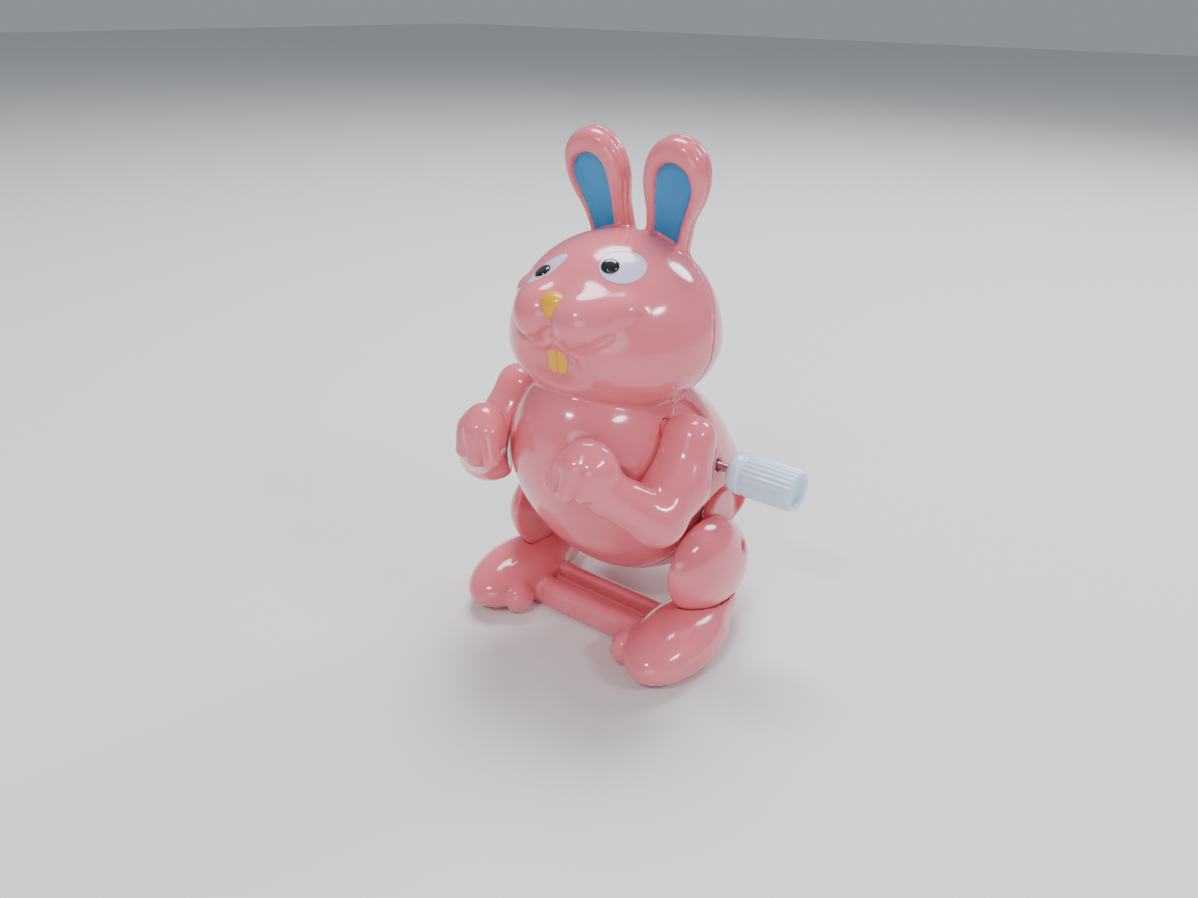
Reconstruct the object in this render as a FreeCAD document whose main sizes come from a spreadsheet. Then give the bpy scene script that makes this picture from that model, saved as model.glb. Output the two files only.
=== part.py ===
import FreeCAD, Part
import Sketcher
import math
import os
from FreeCAD import Vector, Rotation, Placement

# A small wind-up hopping rabbit. Millimetres, +Z up, the face looks along -Y,
# the winding knob is on the +X side, and Z = 0 is the underside of the feet.

doc = FreeCAD.newDocument("windup_rabbit")
dims = doc.addObject("Spreadsheet::Sheet", "dims")

SIZES = [
    ("wall", 1.5, "thickness of the two body mouldings"),
    ("head_y", 1.6, "head centre, fore and aft"),
    ("head_z", 46.0, "widest level of the head"),
    ("head_wide", 14.7, "head radius across"),
    ("head_high", 14.3, "head height above its widest level"),
    ("head_low", 9.4, "head depth below its widest level"),
    ("egg_y", 7.3, "body egg centre, fore and aft"),
    ("egg_z", 23.2, "body egg centre height"),
    ("egg_lean", 50.0, "lean of the egg's long axis towards the face"),
    ("egg_wide", 15.0, "body radius across"),
    ("egg_deep", 15.3, "body radius square to its long axis"),
    ("egg_high", 26.0, "egg length towards the neck"),
    ("egg_low", 19.0, "egg length towards the rump"),
    ("rump_y", 13.3, "rump centre, fore and aft"),
    ("rump_z", 18.4, "rump centre height"),
    ("rump_wide", 15.2, "rump radius across"),
    ("rump_deep", 11.8, "rump radius fore and aft"),
    ("rump_high", 11.0, "rump radius in height"),
    ("flat_half", 12.2, "half width over the two hip flats"),
    ("flat_round", 9.8, "radius of a hip flat"),
    ("core_half", 10.9, "half width of the hollow inside the body"),
    ("cheek_wide", 4.6, "muzzle lobe radius across"),
    ("cheek_deep", 3.5, "muzzle lobe radius fore and aft"),
    ("cheek_high", 3.5, "muzzle lobe radius in height"),
    ("ear_thick", 3.4, "ear thickness"),
    ("ear_tip", 4.1, "ear end radius"),
    ("ear_root", 2.9, "ear radius where it leaves the head"),
    ("ear_long", 12.2, "distance between those two ear radii"),
    ("ear_rim", 1.5, "width of the rim around the ear's hollow"),
    ("ear_sink", 1.2, "depth of the ear's hollow"),
    ("lining", 0.4, "thickness of the coloured ear lining"),
    ("skin", 0.35, "height of the eye whites over the face"),
    ("tail_r", 3.2, "tail radius"),
    ("wind_y", 7.8, "winding shaft, fore and aft"),
    ("wind_z", 27.7, "winding shaft height"),
    ("wind_r", 0.65, "winding shaft radius"),
    ("knob_x", 17.0, "where the knob starts"),
    ("knob_long", 10.1, "knob length"),
    ("knob_r", 3.05, "knob radius over its ribs"),
    ("collar_long", 1.9, "smooth collar at the knob's inner end"),
    ("flute_r", 0.28, "radius of one knob flute"),
    ("flutes", 26, "number of flutes round the knob"),
    ("hip_y", 10.4, "hip pivot, fore and aft"),
    ("hip_z", 14.2, "hip pivot height"),
    ("hip_r", 1.0, "hip pin radius"),
    ("crank_y", 10.8, "crank axle, fore and aft"),
    ("crank_z", 18.57, "crank axle height"),
    ("axle_r", 0.8, "crank axle radius"),
    ("throw", 1.0, "crank throw"),
    ("scape_y", 4.78, "escape arbor, fore and aft"),
    ("scape_z", 15.71, "escape arbor height"),
    ("arbor_r", 0.45, "thin arbor radius"),
    ("verge_y", 3.4, "verge pivot, fore and aft"),
    ("verge_z", 20.2, "verge pivot height"),
    ("run", 0.06, "radial play of a shaft in its bearing"),
    ("plate", 0.8, "motor plate thickness"),
    ("plate_half", 6.1, "half the clear width between motor plates"),
    ("post_r", 0.7, "motor post radius"),
    ("coarse", 0.4, "module of the first gear pair"),
    ("fine", 0.35, "module of the second gear pair"),
    ("great_teeth", 28, "great wheel teeth"),
    ("crank_pinion_teeth", 20, "crank pinion teeth"),
    ("crank_wheel_teeth", 30, "crank wheel teeth"),
    ("scape_pinion_teeth", 8, "escape pinion teeth"),
    ("scape_teeth", 12, "escape wheel teeth"),
    ("ratchet_teeth", 10, "ratchet teeth"),
    ("shank_in", 12.6, "inner face of a shank"),
    ("shank_thick", 1.4, "shank thickness"),
    ("shank_top_r", 3.6, "radius of a shank's rounded top"),
    ("thigh_wide", 5.3, "how far a thigh cover stands out"),
    ("thigh_deep", 10.7, "thigh cover radius fore and aft"),
    ("thigh_high", 7.5, "thigh cover radius in height"),
    ("thigh_wall", 1.2, "thigh cover wall"),
    ("bar_half", 12.0, "half length of the bar between the feet"),
    ("bar_deep", 7.6, "bar size fore and aft"),
    ("bar_high", 4.8, "bar height"),
    ("groove_deep", 4.4, "width of the groove in the bar"),
    ("shoulder_y", -1.5, "shoulder pivot, fore and aft"),
    ("shoulder_z", 35.6, "shoulder pivot height"),
    ("peg_r", 1.5, "shoulder peg radius"),
]

for row, (alias, value, note) in enumerate(SIZES, start=1):
    dims.set("A%d" % row, note)
    dims.set("B%d" % row, str(value))
    dims.setAlias("B%d" % row, alias)
doc.recompute()

NODES = []


def size(alias):
    """Current value of one spreadsheet entry."""
    return float(dims.get(alias))


def keep(obj, label):
    """Name a finished piece, which is written out under that label."""
    obj.Label = label
    NODES.append(obj)
    return obj


def at(obj, where, turn=None):
    """Place an object; each coordinate is a number or an expression."""
    obj.Placement = Placement(Vector(0, 0, 0), turn or Rotation())
    for axis, value in zip("xyz", where):
        if isinstance(value, str):
            obj.setExpression("Placement.Base." + axis, value)
        else:
            setattr(obj.Placement.Base, axis, value)
            obj.setExpression("Placement.Base." + axis, str(value))
    return obj


def lean(alias):
    return Rotation(Vector(1, 0, 0), size(alias))


# ---------------------------------------------------------------- primitives

def egg(name, radii, centre, turn=None, low=-90.0, high=90.0):
    """Ellipsoid with radii along X, Y and Z; low and high cut it by latitude."""
    obj = doc.addObject("Part::Ellipsoid", name)
    across, deep, tall = radii
    obj.setExpression("Radius1", tall)
    obj.setExpression("Radius2", across)
    obj.setExpression("Radius3", deep)
    obj.Angle1 = low
    obj.Angle2 = high
    return at(obj, centre, turn)


def ball(name, radius, centre):
    obj = doc.addObject("Part::Sphere", name)
    obj.setExpression("Radius", str(radius))
    return at(obj, centre)


def rod(name, radius, length, start, turn=None):
    """Cylinder that starts at a point and runs along +X unless turned."""
    obj = doc.addObject("Part::Cylinder", name)
    obj.setExpression("Radius", str(radius))
    obj.setExpression("Height", str(length))
    return at(obj, start, turn or Rotation(Vector(0, 1, 0), 90))


def block(name, lengths, corner):
    obj = doc.addObject("Part::Box", name)
    for prop, value in zip(("Length", "Width", "Height"), lengths):
        obj.setExpression(prop, str(value))
    return at(obj, corner)


def fuse(name, shapes):
    obj = doc.addObject("Part::MultiFuse", name)
    obj.Shapes = shapes
    return obj


def cut(name, base, tool):
    obj = doc.addObject("Part::Cut", name)
    obj.Base = base
    obj.Tool = tool
    return obj


def common(name, first, second):
    obj = doc.addObject("Part::MultiCommon", name)
    obj.Shapes = [first, second]
    return obj


def mirrored(name, source):
    """Copy of a piece on the other side of the middle plane."""
    obj = doc.addObject("Part::Mirroring", name)
    obj.Source = source
    obj.Base = Vector(0, 0, 0)
    obj.Normal = Vector(1, 0, 0)
    return obj


def limb(name, start, end, start_r, end_r):
    """Round limb between two points, with a rounded end at each."""
    low = Vector(*start)
    high = Vector(*end)
    span = high - low
    turn = Rotation(Vector(0, 0, 1), span)
    length = span.Length
    slope = (start_r - end_r) / length
    tilt = math.asin(slope)
    cone = doc.addObject("Part::Cone", name + "_cone")
    cone.Radius1 = start_r * math.cos(tilt)
    cone.Radius2 = end_r * math.cos(tilt)
    cone.Height = length + (end_r - start_r) * math.sin(tilt)
    lift = start_r * math.sin(tilt)
    base = low + turn.multVec(Vector(0, 0, lift))
    cone.Placement = Placement(base, turn)
    ends = []
    for tag, centre, radius in (("_a", start, start_r), ("_b", end, end_r)):
        ends.append(ball(name + tag, radius, centre))
    return [cone] + ends


# ------------------------------------------------------------ part design

def new_body(label, where=(0, 0, 0), turn=None):
    body = doc.addObject("PartDesign::Body", label)
    at(body, where, turn)
    return body


def origin_item(body, role):
    for item in body.Origin.OriginFeatures:
        if item.Role == role:
            return item


def sketch(body, name, role="YZ_Plane", offset="0"):
    """Sketch on one of the body's own planes, moved along the plane's normal."""
    sk = body.newObject("Sketcher::SketchObject", name)
    sk.AttachmentSupport = [(origin_item(body, role), "")]
    sk.MapMode = "FlatFace"
    sk.setExpression("AttachmentOffset.Base.z", offset)
    return sk


def circle(sk, radius, centre=(0.0, 0.0)):
    start = Part.Circle(Vector(centre[0], centre[1], 0), Vector(0, 0, 1), 1.0)
    edge = sk.addGeometry(start)
    number = sk.addConstraint(Sketcher.Constraint("Radius", edge, 1.0))
    sk.setExpression("Constraints[%d]" % number, radius)
    if centre == (0.0, 0.0):
        sk.addConstraint(Sketcher.Constraint("Coincident", edge, 3, -1, 1))
    return edge


def polygon(sk, corners):
    """Closed outline of straight edges."""
    points = [Vector(u, v, 0) for u, v in corners]
    edges = []
    for first, second in zip(points, points[1:] + points[:1]):
        edges.append(sk.addGeometry(Part.LineSegment(first, second)))
    for index, edge in enumerate(edges):
        after = edges[(index + 1) % len(edges)]
        sk.addConstraint(Sketcher.Constraint("Coincident", edge, 2, after, 1))
    return edges


def rectangle(sk, corner, wide, tall):
    """Upright rectangle whose two lengths follow the spreadsheet."""
    u, v = corner
    far_u = u + 1.0
    far_v = v + 1.0
    edges = polygon(sk, [(u, v), (far_u, v), (far_u, far_v), (u, far_v)])
    for index, kind in enumerate(("Horizontal", "Vertical", "Horizontal", "Vertical")):
        sk.addConstraint(Sketcher.Constraint(kind, edges[index]))
    fixed_u = sk.addConstraint(Sketcher.Constraint("DistanceX", -1, 1, edges[0], 1, u))
    fixed_v = sk.addConstraint(Sketcher.Constraint("DistanceY", -1, 1, edges[0], 1, v))
    across = sk.addConstraint(Sketcher.Constraint("DistanceX", edges[0], 1, edges[0], 2, 1.0))
    upward = sk.addConstraint(Sketcher.Constraint("DistanceY", edges[1], 1, edges[1], 2, 1.0))
    sk.setExpression("Constraints[%d]" % across, wide)
    sk.setExpression("Constraints[%d]" % upward, tall)
    return fixed_u, fixed_v


def oval(sk, low, high, low_r, high_r, across=0.0):
    """Outline round two circles on one upright line, joined by tangents."""
    gap = high - low
    swing = math.asin((high_r - low_r) / gap)
    side = math.cos(swing)
    drop = math.sin(swing)
    right_low = Vector(across + low_r * side, low - low_r * drop, 0)
    right_high = Vector(across + high_r * side, high - high_r * drop, 0)
    left_low = Vector(across - low_r * side, low - low_r * drop, 0)
    left_high = Vector(across - high_r * side, high - high_r * drop, 0)
    top = Part.Arc(right_high, Vector(across, high + high_r, 0), left_high)
    bottom = Part.Arc(left_low, Vector(across, low - low_r, 0), right_low)
    sk.addGeometry(Part.LineSegment(right_low, right_high))
    sk.addGeometry(top)
    sk.addGeometry(Part.LineSegment(left_high, left_low))
    sk.addGeometry(bottom)
    ends = ((0, 2, 1, 1), (1, 2, 2, 1), (2, 2, 3, 1), (3, 2, 0, 1))
    for first, first_end, second, second_end in ends:
        joint = Sketcher.Constraint("Coincident", first, first_end, second, second_end)
        sk.addConstraint(joint)


def pad(body, sk, length):
    feature = body.newObject("PartDesign::Pad", sk.Name + "_pad")
    feature.Profile = sk
    feature.setExpression("Length", length)
    return feature


def pocket(body, sk, depth, back=False):
    feature = body.newObject("PartDesign::Pocket", sk.Name + "_pocket")
    feature.Profile = sk
    feature.setExpression("Length", depth)
    feature.Reversed = back
    return feature


def ring_of(body, feature, count, role="X_Axis"):
    """Repeat one feature round the body's own axis."""
    pattern = body.newObject("PartDesign::PolarPattern", feature.Name + "_ring")
    pattern.Originals = [feature]
    pattern.Axis = (origin_item(body, role), [""])
    pattern.Angle = 360
    pattern.setExpression("Occurrences", count)
    body.Tip = pattern
    return pattern


def shaft(label, radius, length, where):
    """Plain round shaft along X."""
    body = new_body(label, where)
    sk = sketch(body, label + "_round")
    circle(sk, radius)
    pad(body, sk, length)
    return body


def wheel(label, where, module, teeth, width, bore, phase=0.0, point=0.55):
    """Toothed wheel with a bored centre; phase turns it about its own axis."""
    unit = size(module)
    count = int(size(teeth))
    pitch = unit * count / 2.0
    root = pitch - 1.15 * unit
    tip = pitch + 0.8 * unit
    foot_half = 0.27 * math.pi * unit
    tip_half = foot_half * point
    body = new_body(label, where, Rotation(Vector(1, 0, 0), phase))
    blank = sketch(body, label + "_blank")
    circle(blank, "dims.%s * dims.%s / 2 - 1.15 * dims.%s" % (module, teeth, module))
    circle(blank, bore)
    pad(body, blank, width)
    tooth = sketch(body, label + "_tooth")
    inner = root - 0.12
    polygon(tooth, [(-foot_half, inner), (foot_half, inner), (tip_half, tip), (-tip_half, tip)])
    ring_of(body, pad(body, tooth, width), "dims." + teeth)
    return body


# -------------------------------------------------------------- outer shape

def head_pieces(inset, tag):
    """Upper and lower half of the head, smaller by the inset."""
    less = " - " + inset
    centre = (0, "dims.head_y", "dims.head_z")
    across = "dims.head_wide" + less
    upper = egg("head_upper" + tag, (across, across, "dims.head_high" + less), centre, None, 0, 90)
    lower = egg("head_lower" + tag, (across, across, "dims.head_low" + less), centre, None, -90, 0)
    return [upper, lower]


def egg_pieces(inset, tag):
    """Leaning body egg and rump, smaller by the inset."""
    less = " - " + inset
    centre = (0, "dims.egg_y", "dims.egg_z")
    turn = lean("egg_lean")
    across = "dims.egg_wide" + less
    deep = "dims.egg_deep" + less
    upper = egg("egg_upper" + tag, (across, deep, "dims.egg_high" + less), centre, turn, 0, 90)
    lower = egg("egg_lower" + tag, (across, deep, "dims.egg_low" + less), centre, turn, -90, 0)
    radii = ("dims.rump_wide" + less, "dims.rump_deep" + less, "dims.rump_high" + less)
    rump = egg("rump" + tag, radii, (0, "dims.rump_y", "dims.rump_z"))
    return [upper, lower, rump]


EAR_FOOT = (4.5, 6.9, 58.2)
EAR_TURN = Rotation(Vector(0, 1, 0), 10.0).multiply(Rotation(Vector(1, 0, 0), 10.0))


def ear_body():
    """Paddle-shaped ear with a hollow in its front face."""
    body = new_body("ear_blank", EAR_FOOT, EAR_TURN)
    outline = sketch(body, "ear_outline", "XZ_Plane", "-dims.ear_thick / 2")
    oval(outline, -1.5, size("ear_long") - 1.5, size("ear_root"), size("ear_tip"))
    slab = pad(body, outline, "dims.ear_thick")
    doc.recompute()
    faces = []
    for index, edge in enumerate(slab.Shape.Edges, start=1):
        levels = [v.Point.y for v in edge.Vertexes]
        flat = max(levels) - min(levels) < 0.01
        if flat:
            faces.append("Edge%d" % index)
    rounding = body.newObject("PartDesign::Fillet", "ear_rounding")
    rounding.Base = (slab, faces)
    rounding.Radius = 1.3
    hollow = sketch(body, "ear_hollow", "XZ_Plane", "dims.ear_thick / 2")
    rim = size("ear_rim")
    inner_low = size("ear_root") - rim * 0.9
    oval(hollow, 0.6, size("ear_long") - 1.7, inner_low, size("ear_tip") - rim)
    pocket(body, hollow, "dims.ear_sink")
    return body


def ear_lining_body():
    """Coloured lining on the floor of the ear's hollow."""
    body = new_body("ear_lining_blank", EAR_FOOT, EAR_TURN)
    level = "dims.ear_thick / 2 - dims.ear_sink"
    outline = sketch(body, "lining_outline", "XZ_Plane", level)
    rim = size("ear_rim")
    inner_low = size("ear_root") - rim * 0.9
    oval(outline, 1.6, size("ear_long") - 1.7, inner_low, size("ear_tip") - rim)
    pad(body, outline, "dims.lining")
    return body


def seam_tool():
    """Everything in front of the parting line of the two mouldings."""
    body = new_body("seam_tool")
    front = sketch(body, "seam_outline", "YZ_Plane", "-40")
    corners = [(-45, -5), (1.8, -5), (1.8, 42), (6.7, 58.2), (3.2, 80), (-45, 80)]
    polygon(front, corners)
    pad(body, front, "80")
    return body


def body_form():
    """Whole outside shape, before it is hollowed and parted."""
    cheek = egg("cheek_left", ("dims.cheek_wide", "dims.cheek_deep", "dims.cheek_high"),
                (3.7, -9.6, 50.4))
    tail = ball("tail", "dims.tail_r", (0, 24.4, 14.5))
    ear = ear_body()
    pieces = head_pieces("0", "_out") + egg_pieces("0", "_out")
    pieces += [cheek, mirrored("cheek_right", cheek), tail]
    pieces += [ear, mirrored("ear_right", ear)]
    return fuse("outer_form", pieces)


def hollow_form():
    core = fuse("body_core_round", egg_pieces("dims.wall", "_in"))
    slab = block("core_slab", ("2 * dims.core_half", 60, 50), ("-dims.core_half", -25, 0))
    body_core = common("body_core", core, slab)
    head_core = fuse("head_core", head_pieces("dims.wall", "_in"))
    return fuse("inner_form", [body_core, head_core])


SEAT = (-0.9, 36.3)


def side_cuts():
    """Hip flats, shoulder seats and every hole through the side walls."""
    tools = []
    for side, tag in ((1, "_l"), (-1, "_r")):
        outward = Rotation(Vector(0, 1, 0), 90 * side)
        flat = "%d * dims.flat_half" % side
        core = "%d * (dims.core_half - 0.6)" % side
        hip_seat = (flat, 8.6, 14.3)
        tools.append(rod("hip_flat" + tag, "dims.flat_round", 12, hip_seat, outward))
        crank = (core, "dims.crank_y", "dims.crank_z")
        tools.append(rod("crank_hole" + tag, 2.5, 8, crank, outward))
        hip = (core, "dims.hip_y", "dims.hip_z")
        tools.append(rod("hip_hole" + tag, "dims.hip_r + dims.run", 8, hip, outward))
        shoulder = ("%d * 8.5" % side, "dims.shoulder_y", "dims.shoulder_z")
        tools.append(rod("arm_hole" + tag, "dims.peg_r + dims.run", 8, shoulder, outward))
        seat = ("%d * 11.75" % side, SEAT[0], SEAT[1])
        tools.append(rod("arm_seat" + tag, 4.1, 8, seat, outward))
    wind = ("dims.core_half - 1", "dims.wind_y", "dims.wind_z")
    tools.append(rod("wind_hole", "dims.wind_r + 0.3", 9, wind))
    return fuse("side_cuts", tools)


def arm_room():
    """The body's side, 0.3 mm larger, at several turns about the shoulder as an arm sees them."""
    round_body = fuse("arm_room_round", egg_pieces("(-0.3)", "_room"))
    turn = Rotation(Vector(0, 1, 0), 90)
    seats = []
    for side, tag in ((11.9, "_l"), (-19.9, "_r")):
        seats.append(rod("room_seat" + tag, 3.8, 8, (side, SEAT[0], SEAT[1]), turn))
    still = cut("arm_room_still", round_body, fuse("room_seats", seats))
    pivot = Vector(0, size("shoulder_y"), size("shoulder_z"))
    rooms = [still]
    for degrees in (-8.0, 12.0, 25.0):
        copy = doc.addObject("Part::Compound", "arm_room_at_%d" % len(rooms))
        copy.Links = [still]
        copy.Placement = FreeCAD.Placement(Vector(0, 0, 0), Rotation(Vector(1, 0, 0), degrees), pivot)
        rooms.append(copy)
    return rooms


def shell_bosses():
    """Pads inside the side walls that hold the motor plates and the pegs."""
    pads = []
    inner = "dims.plate_half + dims.plate"
    reach = "dims.core_half - dims.plate_half - dims.plate + 0.4"
    for index, (y, z) in enumerate(((13.6, 31.0), (15.2, 13.7), (8.2, 12.0))):
        left = rod("boss_%d" % index, 1.2, reach, (inner, y, z))
        pads.append(left)
        pads.append(mirrored("boss_%d_r" % index, left))
    return pads


def shells():
    solid = body_form()
    walls = cut("walls", solid, hollow_form())
    braced = fuse("braced_walls", [walls] + shell_bosses())
    drilled = cut("drilled_walls", braced, side_cuts())
    tool = seam_tool()
    keep(common("front_shell", drilled, tool), "front_shell")
    keep(cut("rear_shell", drilled, tool), "rear_shell")
    return solid


# --------------------------------------------------------------------- face

def eye(side, skin, solid, centre, high, slope, pupil):
    """Flat white oval on the face, and the raised pupil that sits in it."""
    body = new_body(side + "_eye_body", (centre[0], -1.0, centre[1]),
                    Rotation(Vector(0, 1, 0), -slope))
    outline = sketch(body, side + "_eye_outline", "XZ_Plane")
    outline.addGeometry(Part.Ellipse(Vector(0, 0, 0), 2.8, high))
    pad(body, outline, "12")
    lens = common(side + "_eye_lens", skin, body)
    white = cut(side + "_eye_white", lens, solid)
    dot = egg(side + "_pupil_egg", ("1.2", "1.1", "1.1"), pupil)
    seen = cut(side + "_pupil_seen", dot, solid)
    keep(cut(side + "_pupil", seen, white), side + "_pupil")
    keep(cut(side + "_eye", white, dot), side + "_eye")


def face(solid):
    """Eyes, nose and teeth, each cut to lie on the face."""
    nose = egg("nose_egg", ("1.75", "1.6", "1.8"), (0, -11.6, 53.3))
    keep(cut("nose", nose, solid), "nose")

    pair = new_body("teeth_body", (0, -9.0, 43.4))
    outline = sketch(pair, "teeth_outline", "XZ_Plane")
    rectangle(outline, (-1.65, 0), "3.3", "4.4")
    pad(pair, outline, "4.4")
    gap = sketch(pair, "teeth_gap", "XZ_Plane", "4.4")
    rectangle(gap, (-0.15, -0.5), "0.3", "5.5")
    pocket(pair, gap, "0.5")
    keep(cut("teeth", pair, solid), "teeth")

    skin = fuse("eye_skin", head_pieces("(-dims.skin)", "_skin"))
    eye("left", skin, solid, (5.4, 57.5), 1.35, -20.0, (4.25, -5.8, 57.75))
    eye("right", skin, solid, (-4.6, 56.0), 1.2, 37.0, (-5.2, -7.9, 55.8))

    lining = keep(cut("left_ear_lining_seen", ear_lining_body(), solid), "left_ear_lining")
    keep(mirrored("right_ear_lining", lining), "right_ear_lining")


# --------------------------------------------------------------------- arms

def arms():
    """One bent arm with three fingers and a peg into the body, and its twin."""
    shoulder = (15.4, size("shoulder_y"), size("shoulder_z"))
    bend = (15.8, -4.4, 30.4)
    elbow = (15.2, -9.0, 27.0)
    wrist = (11.0, -14.4, 31.4)
    pieces = limb("upper_arm", shoulder, bend, 3.1, 3.5)
    pieces += limb("elbow", bend, elbow, 3.5, 3.7)
    pieces += limb("forearm", elbow, wrist, 3.7, 2.7)
    pieces.append(egg("palm", ("3.6", "3.0", "3.7"), (8.6, -16.0, 35.0)))
    pieces.append(ball("wrist_round", 2.7, (10.4, -15.0, 32.6)))
    fingers = (((6.3, -17.6, 35.6), (5.3, -18.2, 32.9), 1.35),
               ((8.4, -18.0, 35.4), (7.8, -18.7, 32.5), 1.45),
               ((10.4, -17.5, 35.4), (10.2, -18.4, 33.0), 1.35))
    for index, (knuckle, tip, radius) in enumerate(fingers):
        pieces += limb("finger_%d" % index, knuckle, tip, radius, radius * 0.9)
    arm = fuse("arm_whole", pieces)
    for index, room in enumerate(arm_room()):
        arm = cut("arm_trimmed_%d" % index, arm, room)
    start = ("9.2", "dims.shoulder_y", "dims.shoulder_z")
    peg = rod("arm_peg", "dims.peg_r", 4.5, start)
    left = keep(fuse("left_arm", [arm, peg]), "left_arm")
    keep(mirrored("right_arm", left), "right_arm")


# --------------------------------------------------------------------- legs

def thigh_solid(name, inset):
    """Half egg that stands out from a shank."""
    less = " - " + inset
    radii = ("dims.thigh_high" + less, "dims.thigh_deep" + less, "dims.thigh_wide" + less)
    outward = Rotation(Vector(1, 0, 0), -26.0).multiply(Rotation(Vector(0, 1, 0), 90))
    centre = ("dims.shank_in + dims.shank_thick", 6.2, 12.0)
    return egg(name, radii, centre, outward, 0, 90)


def thighs():
    outer = thigh_solid("thigh_outer", "0")
    inner = thigh_solid("thigh_inner", "dims.thigh_wall")
    face_x = "dims.shank_in + dims.shank_thick"
    boss = rod("thigh_boss", "dims.hip_r + 1.0", 3.4, (face_x, "dims.hip_y", "dims.hip_z"))
    hole = rod("thigh_hole", "dims.hip_r", 8, (face_x, "dims.hip_y", "dims.hip_z"))
    cover = fuse("thigh_cover", [cut("thigh_cup", outer, inner), boss])
    left = keep(cut("left_thigh", cover, hole), "left_thigh")
    keep(mirrored("right_thigh", left), "right_thigh")
    return outer


def crossbar():
    """Bar between the feet, with a groove along its top."""
    body = new_body("crossbar")
    outline = sketch(body, "bar_outline", "YZ_Plane", "-dims.bar_half")
    rectangle(outline, (-4.6, 0), "dims.bar_deep", "dims.bar_high")
    pad(body, outline, "2 * dims.bar_half")
    groove = sketch(body, "bar_groove", "XY_Plane", "dims.bar_high")
    rectangle(groove, (-9.6, -3.1), "19.2", "dims.groove_deep")
    pocket(body, groove, "dims.bar_high - 1.6")
    return body


def shank():
    """Flat leg that rises inside the thigh cover to a rounded top."""
    body = new_body("shank")
    outline = sketch(body, "shank_outline", "YZ_Plane", "dims.shank_in")
    corners = [(4.6, 3.2), (12.0, 3.2), (13.6, 10.0), (14.2, 17.0), (7.4, 17.0), (6.0, 10.0)]
    polygon(outline, corners)
    pad(body, outline, "dims.shank_thick")
    top = sketch(body, "shank_top", "YZ_Plane", "dims.shank_in")
    circle(top, "dims.shank_top_r", (size("crank_y"), size("crank_z")))
    pad(body, top, "dims.shank_thick")
    slot = sketch(body, "shank_slot", "YZ_Plane", "dims.shank_in")
    oval(slot, size("crank_z") - 1.3, size("crank_z") + 1.3, 0.8, 0.8, size("crank_y"))
    pocket(body, slot, "0.7", True)
    hole = sketch(body, "shank_hole", "YZ_Plane", "dims.shank_in + dims.shank_thick")
    circle(hole, "dims.hip_r", (size("hip_y"), size("hip_z")))
    pocket(body, hole, "dims.shank_thick")
    return body


def foot(thigh):
    """One foot: long outer lobe, heel, and the small inner toe."""
    rise = Rotation(Vector(1, 0, 0), 2.0)
    lobe = egg("foot_lobe", ("5.7", "10.7", "4.4"), (15.3, -1.7, 3.5), rise)
    heel = egg("foot_heel", ("3.3", "4.6", "4.3"), (14.8, 8.3, 4.2))
    toe = egg("foot_toe", ("2.1", "2.6", "2.6"), (9.6, -7.5, 2.7))
    side = fuse("foot_solid", [lobe, heel, toe])
    return cut("foot_trimmed", side, thigh)


def legs():
    thigh = thighs()
    half = fuse("leg_left", [foot(thigh), shank()])
    joined = fuse("leg_pair", [crossbar(), half, mirrored("leg_right", half)])
    ground = block("above_ground", (60, 60, 40), (-30, -25, 0))
    keep(common("foot_frame", joined, ground), "foot_frame")
    start = ("dims.core_half - 0.5", "dims.hip_y", "dims.hip_z")
    left = keep(shaft("left_hip_pin", "dims.hip_r", "6.8", start), "left_hip_pin")
    keep(mirrored("right_hip_pin", left), "right_hip_pin")


# -------------------------------------------------------------------- motor

POSTS = (("post_top_front", 2.0, 31.0), ("post_top_rear", 13.6, 31.0),
         ("post_low_rear", 15.2, 13.7), ("post_low_front", 8.2, 12.0),
         ("post_mid_front", 1.9, 23.4))


def motor_plate(label, offset):
    """Flat plate that carries one end of every arbor."""
    body = new_body(label)
    outline = sketch(body, label + "_outline", "YZ_Plane", offset)
    polygon(outline, [(0.7, 32.2), (14.8, 32.2), (16.4, 13.0), (9.2, 10.9), (7.2, 10.9), (1.2, 14.6)])
    pad(body, outline, "dims.plate")
    holes = sketch(body, label + "_holes", "YZ_Plane", offset + " + dims.plate")
    bearings = (("wind_r", "wind"), ("axle_r", "crank"), ("arbor_r", "scape"), ("arbor_r", "verge"))
    for radius, place in bearings:
        centre = (size(place + "_y"), size(place + "_z"))
        circle(holes, "dims.%s + dims.run" % radius, centre)
    for name, y, z in POSTS:
        circle(holes, "dims.post_r - 0.2", (y, z))
    pocket(body, holes, "dims.plate")
    return keep(body, label)


def motor_post(label, y, z):
    """Spacer post with a thin riveted end in each plate."""
    body = new_body(label, ("-dims.plate_half - dims.plate", y, z))
    ends = sketch(body, label + "_ends")
    circle(ends, "dims.post_r - 0.2")
    pad(body, ends, "2 * dims.plate_half + 2 * dims.plate")
    middle = sketch(body, label + "_middle", "YZ_Plane", "dims.plate")
    circle(middle, "dims.post_r")
    pad(body, middle, "2 * dims.plate_half")
    return keep(body, label)


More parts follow.
